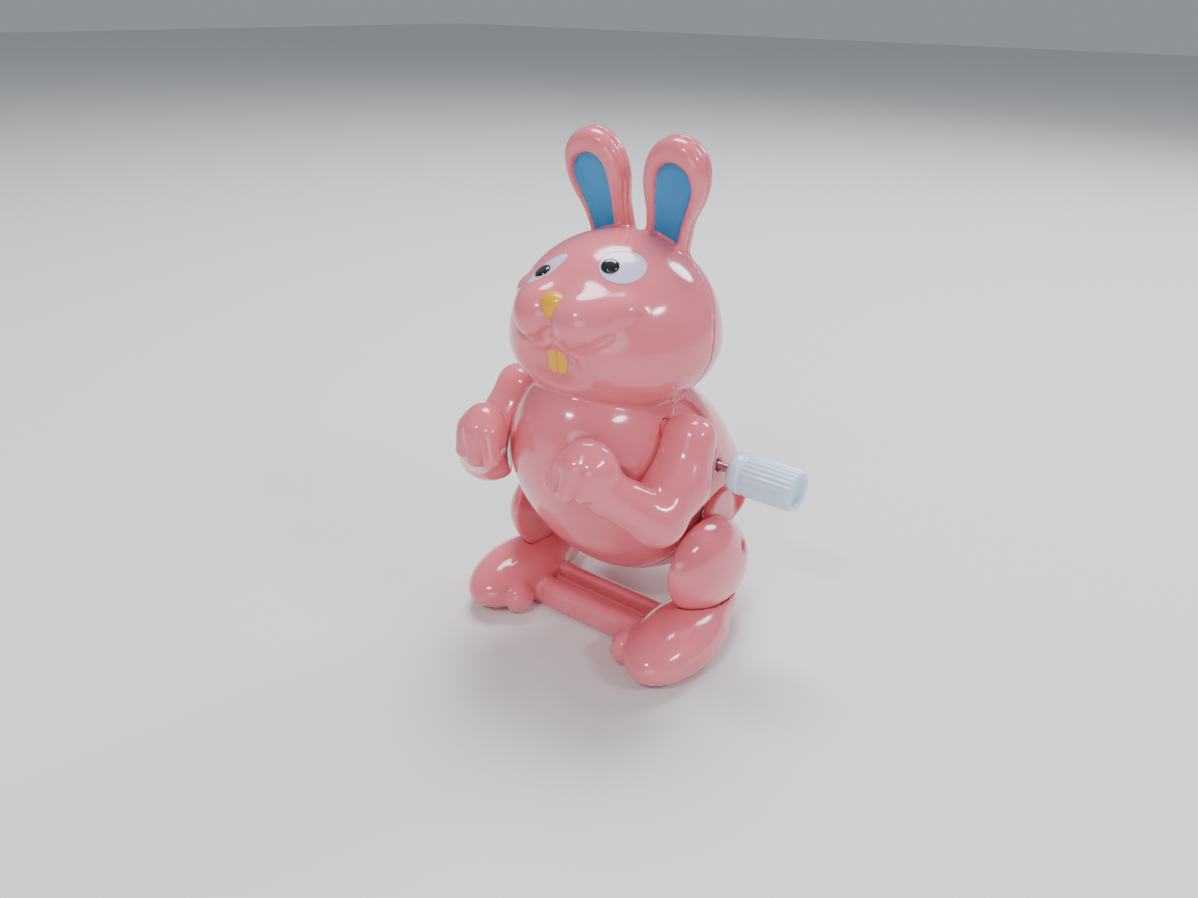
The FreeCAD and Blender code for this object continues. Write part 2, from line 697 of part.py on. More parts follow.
def mainspring():
    """Flat spiral strip, drawn as half turns about two alternating centres."""
    step = 0.36
    half_strip = 0.09
    first = 1.15
    turns = 22
    outer = []
    inner = []
    centre = 0.0
    radius = first
    upper = True
    for index in range(turns):
        for chain, offset in ((outer, half_strip), (inner, -half_strip)):
            reach = radius + offset
            left = Vector(0, centre - reach, 0)
            right = Vector(0, centre + reach, 0)
            middle = Vector(0, centre, reach if upper else -reach)
            ends = (left, right) if upper else (right, left)
            chain.append(Part.Arc(ends[0], middle, ends[1]).toShape())
        shift = step / 2.0
        centre += -shift if upper else shift
        radius += shift
        upper = not upper
    start_cap = Part.makeLine(inner[0].Vertexes[0].Point, outer[0].Vertexes[0].Point)
    end_cap = Part.makeLine(inner[-1].Vertexes[-1].Point, outer[-1].Vertexes[-1].Point)
    loop = outer + inner + [start_cap, end_cap]
    wire = Part.Wire(Part.__sortEdges__(loop))
    strip = Part.Face(wire).extrude(Vector(4.0, 0, 0))
    coil = doc.addObject("Part::Feature", "mainspring")
    coil.Shape = strip
    at(coil, (-5.3, "dims.wind_y", "dims.wind_z"))
    return keep(coil, "mainspring")


def winding_parts():
    start = ("-dims.plate_half - dims.plate - 0.4", "dims.wind_y", "dims.wind_z")
    length = "dims.knob_x + 3.5 + dims.plate_half + dims.plate + 0.4"
    keep(shaft("winding_shaft", "dims.wind_r", length, start), "winding_shaft")
    knob()
    ratchet = wheel("ratchet_wheel", (1.3, "dims.wind_y", "dims.wind_z"), "coarse",
                    "ratchet_teeth", "0.7", "dims.wind_r", 0.0, 0.1)
    keep(ratchet, "ratchet_wheel")


def knob():
    """Fluted winding knob with a smooth collar and a dished outer end."""
    body = new_body("knob", ("dims.knob_x", "dims.wind_y", "dims.wind_z"))
    barrel = sketch(body, "knob_barrel")
    circle(barrel, "dims.knob_r")
    pad(body, barrel, "dims.knob_long")
    waist = sketch(body, "knob_waist", "YZ_Plane", "dims.collar_long")
    circle(waist, "dims.knob_r + 0.5")
    circle(waist, "dims.knob_r - 0.15")
    pocket(body, waist, "0.5", True)
    groove = sketch(body, "knob_flute", "YZ_Plane", "dims.collar_long + 0.5")
    circle(groove, "dims.flute_r", (0.0, size("knob_r") + 0.06))
    flute = pocket(body, groove, "dims.knob_long", True)
    ring_of(body, flute, "dims.flutes")
    dish = sketch(body, "knob_dish", "YZ_Plane", "dims.knob_long")
    circle(dish, "dims.knob_r - 0.9")
    pocket(body, dish, "0.8")
    bore = sketch(body, "knob_bore", "YZ_Plane", "0")
    circle(bore, "dims.wind_r")
    pocket(body, bore, "3.5", True)
    return keep(body, "knob")


def great_wheel_parts():
    great = wheel("great_wheel", (0.0, "dims.wind_y", "dims.wind_z"), "coarse", "great_teeth",
                  "1.0", "dims.wind_r + dims.run", 0.0)
    keep(great, "great_wheel")
    body = new_body("click", (1.0, "dims.wind_y", "dims.wind_z"))
    arm = sketch(body, "click_arm")
    polygon(arm, [(-3.9, 0.6), (-3.1, 0.9), (-1.4, 2.75), (-1.7, 3.3), (-2.5, 3.1)])
    pad(body, arm, "0.9")
    keep(body, "click")


def crank_parts():
    where = "dims.crank_y", "dims.crank_z"
    start = ("-dims.core_half - 0.4",) + where
    length = "2 * dims.core_half + 0.8"
    keep(shaft("crank_axle", "dims.axle_r", length, start), "crank_axle")
    gear_line = math.degrees(math.atan2(size("crank_z") - size("wind_z"),
                                        size("crank_y") - size("wind_y")))
    pinion = wheel("crank_pinion", (-0.1,) + where, "coarse", "crank_pinion_teeth", "1.2",
                   "dims.axle_r", mesh_phase(gear_line, "great_teeth", 0.0, "crank_pinion_teeth"))
    keep(pinion, "crank_pinion")
    big = wheel("crank_wheel", (2.6,) + where, "fine", "crank_wheel_teeth", "0.8", "dims.axle_r")
    keep(big, "crank_wheel")
    for side, label in ((1, "left_crank"), (-1, "right_crank")):
        body = new_body(label, ("%d * (dims.core_half + 0.4)" % side,) + where)
        disc = sketch(body, label + "_disc", "YZ_Plane", "0" if side > 0 else "-0.8")
        circle(disc, "2.2")
        pad(body, disc, "0.8")
        pin = sketch(body, label + "_pin", "YZ_Plane", "0.8" if side > 0 else "-1.1")
        circle(pin, "0.45", (size("throw"), 0.0))
        pad(body, pin, "0.3")
        keep(body, label)


def mesh_phase(line, driver_teeth, driver_phase, driven_teeth):
    """Turn of a driven wheel that puts one of its gaps where the driver has a tooth.

    Teeth start on the +Z side, so angles are taken from there."""
    driver_pitch = 360.0 / size(driver_teeth)
    driven_pitch = 360.0 / size(driven_teeth)
    seen_by_driver = line - 90.0 - driver_phase
    past_tooth = seen_by_driver / driver_pitch
    past_tooth -= math.floor(past_tooth)
    seen_by_driven = line + 180.0 - 90.0
    phase = seen_by_driven + (past_tooth + 0.5) * driven_pitch
    return phase % driven_pitch


def escape_parts():
    where = "dims.scape_y", "dims.scape_z"
    length = "2 * dims.plate_half + 2 * dims.plate"
    start = ("-dims.plate_half - dims.plate",) + where
    keep(shaft("escape_arbor", "dims.arbor_r", length, start), "escape_arbor")
    gear_line = math.degrees(math.atan2(size("scape_z") - size("crank_z"),
                                        size("scape_y") - size("crank_y")))
    pinion = wheel("escape_pinion", (2.4,) + where, "fine", "scape_pinion_teeth", "1.2",
                   "dims.arbor_r", mesh_phase(gear_line, "crank_wheel_teeth", 0.0,
                                              "scape_pinion_teeth"))
    keep(pinion, "escape_pinion")
    star = wheel("escape_wheel", (4.2,) + where, "coarse", "scape_teeth", "0.7",
                 "dims.arbor_r", 0.0, 0.15)
    keep(star, "escape_wheel")


def verge_parts():
    """Rocking anchor that straddles the escape wheel, and its arbor."""
    where = "dims.verge_y", "dims.verge_z"
    length = "2 * dims.plate_half + 2 * dims.plate"
    start = ("-dims.plate_half - dims.plate",) + where
    keep(shaft("verge_arbor", "dims.arbor_r", length, start), "verge_arbor")
    to_y = size("verge_y") - size("scape_y")
    to_z = size("verge_z") - size("scape_z")
    line = math.atan2(to_z, to_y)
    body = new_body("verge", (4.1, "dims.scape_y", "dims.scape_z"))
    bow = sketch(body, "verge_bow")
    inner = 3.4
    outer = 4.1
    reach = math.radians(58)
    points = []
    for radius, turns in ((outer, (-1, 0, 1)), (inner, (1, 0, -1))):
        for share in turns:
            angle = line + share * reach
            points.append(Vector(radius * math.cos(angle), radius * math.sin(angle), 0))
    bow.addGeometry(Part.Arc(points[0], points[1], points[2]))
    bow.addGeometry(Part.LineSegment(points[2], points[3]))
    bow.addGeometry(Part.Arc(points[3], points[4], points[5]))
    bow.addGeometry(Part.LineSegment(points[5], points[0]))
    pad(body, bow, "0.9")
    hub = sketch(body, "verge_hub")
    circle(hub, "1.1", (to_y, to_z))
    pad(body, hub, "0.9")
    bore = sketch(body, "verge_bore", "YZ_Plane", "0.9")
    circle(bore, "dims.arbor_r", (to_y, to_z))
    pocket(body, bore, "0.9")
    keep(body, "verge")


def motor():
    motor_plate("motor_plate_left", "dims.plate_half")
    motor_plate("motor_plate_right", "-dims.plate_half - dims.plate")
    for label, y, z in POSTS:
        motor_post(label, y, z)
    mainspring()
    winding_parts()
    great_wheel_parts()
    crank_parts()
    escape_parts()
    verge_parts()


# --------------------------------------------------------------------- write

outer_form = shells()
face(outer_form)
arms()
legs()
motor()
doc.recompute()

os.makedirs("parts", exist_ok=True)
for obj in doc.Objects:
    states = set(obj.State)
    if "Invalid" in states or "Error" in states:
        raise RuntimeError("%s did not rebuild: %s" % (obj.Name, obj.State))
for obj in NODES:
    shape = obj.Shape
    if shape.isNull() or not shape.isValid():
        raise RuntimeError("%s has no valid shape" % obj.Label)
    if shape.Volume <= 0:
        raise RuntimeError("%s has no volume" % obj.Label)
    print("%-20s %2d solid %9.2f mm3" % (obj.Label, len(shape.Solids), shape.Volume))
    shape.exportStep("parts/%s.step" % obj.Label)
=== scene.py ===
import math

import bpy
import numpy as np
from mathutils import Matrix, Vector


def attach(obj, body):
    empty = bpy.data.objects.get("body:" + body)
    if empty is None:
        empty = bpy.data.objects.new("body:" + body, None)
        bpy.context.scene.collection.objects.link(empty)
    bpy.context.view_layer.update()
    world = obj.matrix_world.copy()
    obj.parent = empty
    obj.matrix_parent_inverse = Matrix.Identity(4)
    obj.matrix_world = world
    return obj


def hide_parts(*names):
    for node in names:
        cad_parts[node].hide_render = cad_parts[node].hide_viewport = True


# Looks for a small wind-up rabbit. Shapes are worked out in millimetres, in the
# CAD's own frame, and turned into metres when a mesh is made. +X is the rabbit's
# left side, -Y is its front and +Z is up.

MM = 0.001
SHELL_STEP = 0.36       # spacing of the mesh grid on the two shells and the feet
LIMB_STEP = 0.3
LINING_STEP = 0.15
FINE_STEP = 0.11        # on the eyes and the nose
FINEST_STEP = 0.1       # on the pupils and the teeth
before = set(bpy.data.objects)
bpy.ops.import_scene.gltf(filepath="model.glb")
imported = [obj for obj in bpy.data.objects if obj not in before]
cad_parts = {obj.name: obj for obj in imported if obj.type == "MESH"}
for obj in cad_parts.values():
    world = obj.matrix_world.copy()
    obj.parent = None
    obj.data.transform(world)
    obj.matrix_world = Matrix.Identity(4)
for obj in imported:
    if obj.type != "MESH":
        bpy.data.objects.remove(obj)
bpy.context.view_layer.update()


# ------------------------------------------------------- distance functions
# Each takes an array of points (..., 3) and returns how far each one is outside.

def length(v):
    return np.sqrt((v * v).sum(-1))


def turned(p, centre, axis="x", degrees=0.0):
    """Points seen from a local frame that is turned about one axis."""
    q = p - np.asarray(centre, p.dtype)
    if degrees == 0.0:
        return q
    c = math.cos(math.radians(degrees))
    s = math.sin(math.radians(degrees))
    x, y, z = q[..., 0], q[..., 1], q[..., 2]
    if axis == "x":
        return np.stack([x, c * y + s * z, -s * y + c * z], -1)
    if axis == "y":
        return np.stack([c * x - s * z, y, s * x + c * z], -1)
    return np.stack([c * x + s * y, -s * x + c * y, z], -1)


def egg(q, radii, low=None):
    """Ellipsoid about the origin; low is its radius below, where that differs."""
    across, deep, high = radii
    tall = np.where(q[..., 2] > 0, high, high if low is None else low)
    scale = np.stack([np.full_like(tall, across), np.full_like(tall, deep), tall], -1)
    near = length(q / scale)
    far = length(q / (scale * scale))
    return near * (near - 1.0) / np.maximum(far, 1e-6)


def limb(p, a, b, ra, rb):
    """Round cone between two points."""
    a = np.asarray(a, float)
    b = np.asarray(b, float)
    ba = b - a
    l2 = float(ba @ ba)
    rr = ra - rb
    a2 = l2 - rr * rr
    il2 = 1.0 / l2
    pa = p - a
    y = pa @ ba
    z = y - l2
    v = pa * l2 - ba * y[..., None]
    x2 = (v * v).sum(-1)
    y2 = y * y * l2
    z2 = z * z * l2
    k = math.copysign(1.0, rr) * rr * rr * x2
    side = (np.sqrt(np.maximum(x2 * a2 * il2, 0)) + y * rr) * il2 - ra
    top = np.sqrt(x2 + z2) * il2 - rb
    bottom = np.sqrt(x2 + y2) * il2 - ra
    past_a = np.sign(y) * a2 * y2 < k
    past_b = np.sign(z) * a2 * z2 > k
    return np.where(past_b, top, np.where(past_a, bottom, side))


def box_about(q, half, rounding):
    """Box about the origin with rounded edges."""
    d = np.abs(q) - (np.asarray(half, float) - rounding)
    outside = length(np.maximum(d, 0))
    inside = np.minimum(d.max(-1), 0)
    return outside + inside - rounding


def join(a, b, k):
    """Smooth union; k is about the size of the fillet."""
    h = np.clip(0.5 + 0.5 * (b - a) / k, 0, 1)
    return b * (1 - h) + a * h - k * h * (1 - h)


def both(a, b, k=0.01):
    """Smooth intersection."""
    return -join(-a, -b, k)


def carve(a, b, k=0.01):
    """a with b taken out of it."""
    return -join(-a, b, k)


def step_up(low, high, x):
    """Goes smoothly from 0 at low to 1 at high."""
    t = np.clip((x - low) / (high - low), 0.0, 1.0)
    return t * t * (3 - 2 * t)


# --------------------------------------------------------------- mesh making

CORNERS = [(i, j, k) for i in (0, 1) for j in (0, 1) for k in (0, 1)]
EDGES = [(a, b) for a in CORNERS for b in CORNERS if sum(b) - sum(a) == 1
         and all(q >= p for p, q in zip(a, b))]


def net(field, low, high, step):
    """Closed quad mesh of the surface where field is zero, inside a box."""
    low = np.asarray(low, float)
    counts = np.ceil((np.asarray(high, float) - low) / step).astype(int) + 1
    value = samples(field, low, counts, step)
    inside = value < 0
    total = sum(inside[i:counts[0] - 1 + i, j:counts[1] - 1 + j, k:counts[2] - 1 + k].astype(int)
                for i, j, k in CORNERS)
    cells = np.argwhere((total > 0) & (total < 8))
    number = np.full(total.shape, -1)
    number[tuple(cells.T)] = np.arange(len(cells))
    points = low + step * (cells + crossing_mean(value, cells))
    points = settle(field, points, step)
    return points, np.concatenate([quads_across(axis, inside, number) for axis in range(3)])


def samples(field, low, counts, step):
    """The field's values on a grid, one layer at a time."""
    axes = [low[i] + step * np.arange(counts[i]) for i in range(3)]
    grid = np.stack(np.meshgrid(*axes, indexing="ij"), -1)
    return np.stack([field(layer) for layer in grid])


def crossing_mean(value, cells):
    """In each cell, the mean of the places where its edges cross the surface."""
    place = np.zeros((len(cells), 3))
    hits = np.zeros(len(cells))
    for a, b in EDGES:
        va = value[tuple((cells + a).T)]
        vb = value[tuple((cells + b).T)]
        crossed = (va < 0) != (vb < 0)
        share = np.where(crossed, va / np.where(crossed, va - vb, 1), 0)
        spot = np.asarray(a) + share[:, None] * (np.asarray(b) - np.asarray(a))
        place += spot * crossed[:, None]
        hits += crossed
    return place / hits[:, None]


def quads_across(axis, inside, number):
    """Outward quads, one round each grid edge along an axis that crosses the surface."""
    u, v = [(1, 2), (2, 0), (0, 1)][axis]
    here = [slice(None)] * 3
    there = [slice(None)] * 3
    here[axis] = slice(0, -1)
    there[axis] = slice(1, None)
    first = inside[tuple(here)]
    second = inside[tuple(there)]
    edges = np.argwhere(first != second)
    room = (edges[:, u] > 0) & (edges[:, v] > 0)
    room &= (edges[:, u] < number.shape[u]) & (edges[:, v] < number.shape[v])
    edges = edges[room]
    outward = first[tuple(edges.T)]
    ring = []
    for du, dv in ((0, 0), (1, 0), (1, 1), (0, 1)):
        cell = edges.copy()
        cell[:, u] -= 1 - du
        cell[:, v] -= 1 - dv
        ring.append(number[tuple(cell.T)])
    ring = np.stack(ring, -1)
    ring[~outward] = ring[~outward][:, ::-1]
    return ring


def settle(field, points, step, rounds=4):
    """Moves points onto the surface itself."""
    reach = 0.01
    for _ in range(rounds):
        value = field(points)
        slope = np.stack([(field(points + d) - field(points - d)) / (2 * reach)
                          for d in np.eye(3) * reach], -1)
        size = np.maximum((slope * slope).sum(-1), 0.05)
        move = -(value / size)[:, None] * slope
        far = np.maximum(length(move) / (0.5 * step), 1.0)
        points = points + move / far[:, None]
    return points


def mesh_object(name, points, faces, body, material):
    """Object from points in millimetres and quads, riding on a body."""
    mesh = bpy.data.meshes.new(name)
    flat = np.asarray(faces, np.int32)
    mesh.vertices.add(len(points))
    mesh.vertices.foreach_set("co", (np.asarray(points) * MM).astype(np.float32).ravel())
    mesh.loops.add(flat.size)
    mesh.loops.foreach_set("vertex_index", flat.ravel())
    mesh.polygons.add(len(flat))
    mesh.polygons.foreach_set("loop_start", np.arange(0, flat.size, flat.shape[1], dtype=np.int32))
    mesh.polygons.foreach_set("loop_total", np.full(len(flat), flat.shape[1], np.int32))
    mesh.polygons.foreach_set("use_smooth", np.ones(len(flat), bool))
    mesh.update(calc_edges=True)
    mesh.validate()
    obj = bpy.data.objects.new(name, mesh)
    bpy.context.scene.collection.objects.link(obj)
    mesh.materials.append(material)
    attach(obj, body)
    return obj


def mirrored(points, faces):
    return points * np.array([-1.0, 1.0, 1.0]), faces[:, ::-1]


# ------------------------------------------------------------ the rabbit's form

# Axes along X, each given by its y and z.
SHOULDER = (-1.5, 35.6)
SEAT = (3.2, 32.9)
HIP = (10.4, 14.2)
CRANK = (10.8, 18.57)
WIND = (7.8, 27.7)

WALL = 1.5
SOLID_FRONT = -8.3
PEG_RADIUS = 1.5
SEAT_RADIUS = 5.0
SEAT_DEPTH = 0.75
THIGH_MIDDLE = (14.0, 6.2, 12.0)
THIGH_TURN = -26.0


def about_axis(p, axis):
    """Distance from an axis along X."""
    return np.hypot(p[..., 1] - axis[0], p[..., 2] - axis[1])


def mirror_x(p):
    """Folds the right side onto the left one."""
    q = p.copy()
    q[..., 0] = np.abs(q[..., 0])
    return q


def torso_form(p, less=0.0):
    """Body egg and rump, before anything is cut."""
    trunk = egg(turned(p, (0, 7.3, 23.2), "x", 50.0),
                (15.0 - less, 15.3 - less, 26.0 - less), 19.0 - less)
    rump = egg(turned(p, (0, 13.3, 18.4)), (15.2 - less, 11.8 - less, 11.0 - less))
    tail = egg(turned(p, (0, 24.6, 14.5)), (3.2, 3.2, 3.2))
    whole = join(trunk, rump, 3.0)
    return whole if less else join(whole, tail, 0.5)


def head_form(p, less=0.0):
    """Head egg, flatter below."""
    return egg(turned(p, (0, 1.8, 46.0)), (14.7 - less, 14.7 - less, 14.3 - less), 9.5 - less)


def muzzle(p, head):
    """Two soft lobes under the nose, creased along the smile."""
    q = mirror_x(p)
    lobe = egg(turned(q, (3.15, -9.3, 51.3)), (4.1, 4.6, 4.0))
    corner = limb(q, (5.0, -8.7, 51.5), (7.4, -7.2, 52.6), 3.1, 1.9)
    pair = join(lobe, corner, 1.0)
    softness = 0.12 + 1.6 * step_up(50.6, 53.6, p[..., 2])
    whole = join(head, pair, softness)
    groove = np.hypot(head - 0.12, pair) - 0.34
    low = step_up(51.8, 50.2, p[..., 2])
    return carve(whole, groove + 2.0 * (1 - low), 0.35)


def face_form(p):
    """Head with a muzzle, and a chin that falls back under it."""
    head = head_form(p)
    chin = egg(turned(p, (0, -15.9, 45.2)), (7.6, 5.2, 4.4))
    head = carve(head, chin, 1.4)
    return muzzle(p, head)


EAR_LEAN = 10.0         # degrees, both outward and forward
EAR_FOOT = (4.5, 7.2, 58.2)
EAR_HALF = 2.05
EAR_ROUNDING = 1.5
EAR_DISH = 1.15


def ear_frame(p):
    """Points in the left ear's own frame: across, thickness, up. Both ears share it."""
    outward = turned(mirror_x(p), EAR_FOOT, "y", EAR_LEAN)
    return turned(outward, (0, 0, 0), "x", EAR_LEAN)


def flattened(q):
    """Points moved into the ear's own plane."""
    flat = q.copy()
    flat[..., 1] = 0
    return flat


def ear_outline(q):
    """Petal outline in the ear's plane."""
    flat = flattened(q)
    stalk = limb(flat, (-0.1, 0, -3.5), (0.0, 0, 6.5), 2.75, 3.5)
    tip = length(flat - np.array([0.4, 0, 10.4])) - 4.35
    return join(stalk, tip, 4.0)


def ear_inside(q, less=0.0):
    """Outline of the hollow, and of its coloured lining, which is smaller by less."""
    flat = flattened(q)
    foot = limb(flat, (0.2, 0, -1.5), (0.35, 0, 5.0), 1.75, 2.3)
    tip = length(flat - np.array([0.7, 0, 9.0])) - 2.85
    return join(foot, tip, 3.0) + less


def ear_form(p):
    """Flat petal with rounded edges and a dished front."""
    q = ear_frame(p)
    side = ear_outline(q) + EAR_ROUNDING
    depth = np.abs(q[..., 1]) - EAR_HALF + EAR_ROUNDING
    outside = np.sqrt(np.maximum(side, 0) ** 2 + np.maximum(depth, 0) ** 2)
    slab = outside + np.minimum(np.maximum(side, depth), 0) - EAR_ROUNDING
    return carve(slab, ear_hollow(q), 0.6)


def ear_hollow(q):
    """Dished hollow in the front of the ear."""
    return both(ear_inside(q), q[..., 1] + EAR_HALF - EAR_DISH, 0.9)


def side_cuts(p, form):
    """Hip flats, the seats of the arms, and the holes in the side walls."""
    q = mirror_x(p)
    x = q[..., 0]
    hip = both(about_axis(q, (8.6, 14.3)) - 9.8, 12.2 - x, 0.5)
    form = carve(form, hip, 0.35)
    pocket = both(about_axis(q, SEAT) - SEAT_RADIUS, -SEAT_DEPTH - torso_form(p), 0.2)
    form = carve(form, np.maximum(pocket, 8.0 - x), 0.25)
    holes = about_axis(q, CRANK) - 2.5
    holes = np.minimum(holes, about_axis(q, HIP) - 1.06)
    holes = np.maximum(holes, 9.5 - x)
    peg = np.maximum(about_axis(q, SHOULDER) - PEG_RADIUS - 0.06, 6.0 - x)
    holes = np.minimum(holes, peg)
    wind = np.maximum(about_axis(p, WIND) - 0.95, 9.5 - p[..., 0])
    return carve(form, np.minimum(holes, wind), 0.12)


def outside_form(p):
    """Head, ears and body in one, before the side cuts."""
    head = join(face_form(p), ear_form(p), 0.9)
    return join(head, torso_form(p), 0.35)


def hollow_form(p):
    """Room inside the shells. The middle of the head is left solid behind SOLID_FRONT."""
    core = both(torso_form(p, WALL), np.abs(p[..., 0]) - 10.9, 0.3)
    shoulders = np.maximum(about_axis(p, SHOULDER) - 5.6, 8.6 - np.abs(p[..., 0]))
    core = carve(core, shoulders, 0.3)
    room = head_form(p, WALL + 0.6)
    solid = np.maximum(SOLID_FRONT - p[..., 1], np.abs(p[..., 2] - 46) - 7)
    return np.minimum(core, carve(room, solid, 0.3))


def seam_y(z):
    """Where the seam runs: upright on the body, leaning back up the head, forward up the ears."""
    return np.interp(z, [0, 42, 58.2, 80], [1.8, 1.8, 7.0, 3.6])


def shell_form(p, front):
    """One of the two mouldings. Its outer edges are eased, so that the seam shows."""
    skin = side_cuts(p, outside_form(p))
    side = p[..., 1] - seam_y(p[..., 2])
    if not front:
        side = -side
    skin = both(skin, side + 0.015, 0.22)
    return carve(skin, hollow_form(p), 0.2)


ARM_SWINGS = (-25.0, -12.0, 0.0, 8.0)       # degrees; room is left at each
ARM_ROOM = 0.15
ARM_NEARER = np.array([1.4, 0.0, 0.0])


def turned_about_shoulder(p, degrees):
    """Where points of the arm are when it has swung by an angle."""
    pivot = np.array([0.0, SHOULDER[0], SHOULDER[1]])
    return turned(p, pivot, "x", -degrees) + pivot


def arm_form(p):
    """The +X arm, bent at the elbow, with its hand and the peg into the body."""
    shoulder = (15.4, SHOULDER[0], SHOULDER[1])
    bend = (15.8, -4.4, 30.4)
    elbow = (15.2, -9.0, 27.0)
    wrist = (11.0, -14.4, 31.4)
    arm = join(limb(p, shoulder, bend, 3.1, 3.5), limb(p, bend, elbow, 3.5, 3.75), 1.5)
    arm = join(arm, limb(p, elbow, wrist, 3.75, 2.75), 0.9)
    nearer = p + ARM_NEARER
    web = join(limb(nearer, shoulder, bend, 3.0, 3.4), limb(nearer, bend, elbow, 3.4, 3.6), 1.5)
    arm = join(arm, web, 0.8)
    palm = egg(turned(p, (8.7, -15.8, 35.0), "z", 25.0), (3.7, 3.0, 3.8))
    heel = limb(p, (10.7, -14.7, 31.8), (9.9, -15.4, 34.0), 2.85, 3.0)
    arm = join(arm, join(palm, heel, 1.5), 1.3)
    fingers = (((6.4, -17.4, 35.6), (5.3, -18.2, 32.6), 1.35, 1.2),
               ((8.4, -18.0, 35.6), (7.8, -18.7, 32.2), 1.45, 1.25),
               ((10.3, -17.3, 35.4), (10.2, -18.3, 32.7), 1.4, 1.2))
    hand = None
    for a, b, ra, rb in fingers:
        finger = limb(p, a, b, ra, rb)
        hand = finger if hand is None else join(hand, finger, 0.3)
    arm = join(arm, hand, 0.9)
    for swing in ARM_SWINGS:
        arm = carve(arm, torso_form(turned_about_shoulder(p, swing)) - ARM_ROOM, 0.4)
    peg = np.maximum(about_axis(p, SHOULDER) - PEG_RADIUS, np.abs(p[..., 0] - 11.6) - 2.4)
    return join(arm, peg, 0.4)


def thigh_form(p):
    """Hollow half egg over the +X leg, with the pin's hole."""
    q = turned(p, THIGH_MIDDLE, "x", THIGH_TURN)
    outer = both(egg(q, (5.3, 10.7, 7.5)), -q[..., 0], 0.6)
    inner = both(egg(q, (4.1, 9.5, 6.3)), 1.0 - q[..., 0], 0.3)
    inner = carve(inner, about_axis(p, HIP) - 2.0, 0.3)
    cup = carve(outer, inner, 0.3)
    return carve(cup, about_axis(p, HIP) - 0.98, 0.35)


def foot_form(p):
    """Both feet, the grooved bar between them and the two flat legs."""
    q = mirror_x(p)
    lobe = egg(turned(q, (15.1, -1.8, 3.45)), (6.0, 10.9, 4.5))
    heel = egg(turned(q, (14.8, 8.3, 4.2)), (3.3, 4.6, 4.3))
    foot = join(lobe, heel, 2.0)
    outward = np.where(p[..., 0] < 0, -0.9, 0.0)        # the right toe sits further out
    beside = q + outward[..., None] * np.array([1.0, 0, 0])
    toe = egg(turned(beside, (9.8, -7.5, 2.75)), (2.1, 2.6, 2.6))
    foot = join(foot, toe, 0.3)
    foot = join(foot, bar_form(p), 0.7)
    foot = join(foot, shank_form(q), 0.6)
    thigh = egg(turned(q, THIGH_MIDDLE, "x", THIGH_TURN), (5.4, 10.8, 7.6))
    foot = carve(foot, both(thigh, 14.02 - q[..., 0], 0.05), 0.1)
    return both(foot, -p[..., 2], 0.35)


def bar_form(p):
    """Bar between the feet: a round front rail, a channel, and a lower flat rail behind."""
    front = box_about(turned(p, (0, -2.9, 2.3)), (12.5, 1.75, 2.3), 1.5)
    floor = box_about(turned(p, (0, -0.6, 1.3)), (12.5, 3.4, 1.3), 0.3)
    back = box_about(turned(p, (0, 2.1, 2.3)), (12.5, 0.9, 2.3), 0.5)
    rib = box_about(turned(p, (0, 0.2, 1.6)), (12.5, 0.45, 1.7), 0.25)
    bar = join(join(front, floor, 0.4), back, 0.4)
    return join(bar, rib, 0.3)


def shank_form(q):
    """Flat leg with a round top and a blind slot on its inner side."""
    y, z = q[..., 1], q[..., 2]
    top = about_axis(q, CRANK) - 3.6
    middle = 10.2 - 0.06 * (18 - z)
    stem = np.maximum(np.abs(y - middle) - 3.7, np.maximum(z - CRANK[1], 3.2 - z))
    outline = join(top, stem, 0.8)
    plate = both(outline, np.abs(q[..., 0] - 13.3) - 0.7, 0.35)
    along = np.maximum(np.abs(z - CRANK[1]) - 1.3, 0)
    slot = np.maximum(np.hypot(y - CRANK[0], along) - 0.8, q[..., 0] - 13.3)
    return carve(plate, slot, 0.05)


# ---------------------------------------------------------------- materials

def material(name):
    """New material, with its node tree and its shader."""
    mat = bpy.data.materials.new(name)
    mat.use_nodes = True
    tree = mat.node_tree
    shader = tree.nodes["Principled BSDF"]
    return mat, tree, shader


def add(tree, kind, **values):
    """New node with its inputs set; an underscore in a name stands for a space."""
    node = tree.nodes.new(kind)
    for key, value in values.items():
        node.inputs[key.replace("_", " ")].default_value = value
    return node


def object_point(tree):
    """Position on the object, in metres: it doesn't slide when the camera moves."""
    return tree.nodes.new("ShaderNodeTexCoord").outputs["Object"]


def noise(tree, scale, detail, rough=0.5):
    node = add(tree, "ShaderNodeTexNoise", Scale=scale, Detail=detail, Roughness=rough)
    tree.links.new(object_point(tree), node.inputs["Vector"])
    return node.outputs["Fac"]


def ramp(tree, source, stops):
    """Colour that follows source between two stops."""
    node = tree.nodes.new("ShaderNodeValToRGB")
    for element, (place, colour) in zip(node.color_ramp.elements, stops):
        element.position = place
        element.color = (*colour, 1.0)
    tree.links.new(source, node.inputs["Fac"])
    return node.outputs["Color"]


def spread(tree, source, low, high):
    """Stretches the middle of a noise over low to high."""
    node = add(tree, "ShaderNodeMapRange", From_Min=0.3, From_Max=0.7, To_Min=low, To_Max=high)
    tree.links.new(source, node.inputs["Value"])
    return node.outputs["Result"]


def bump(tree, shader, source, distance, strength, under=None):
    node = add(tree, "ShaderNodeBump", Strength=strength, Distance=distance)
    tree.links.new(source, node.inputs["Height"])
    if under is not None:
        tree.links.new(under, node.inputs["Normal"])
    tree.links.new(node.outputs["Normal"], shader.inputs["Normal"])
    return node.outputs["Normal"]


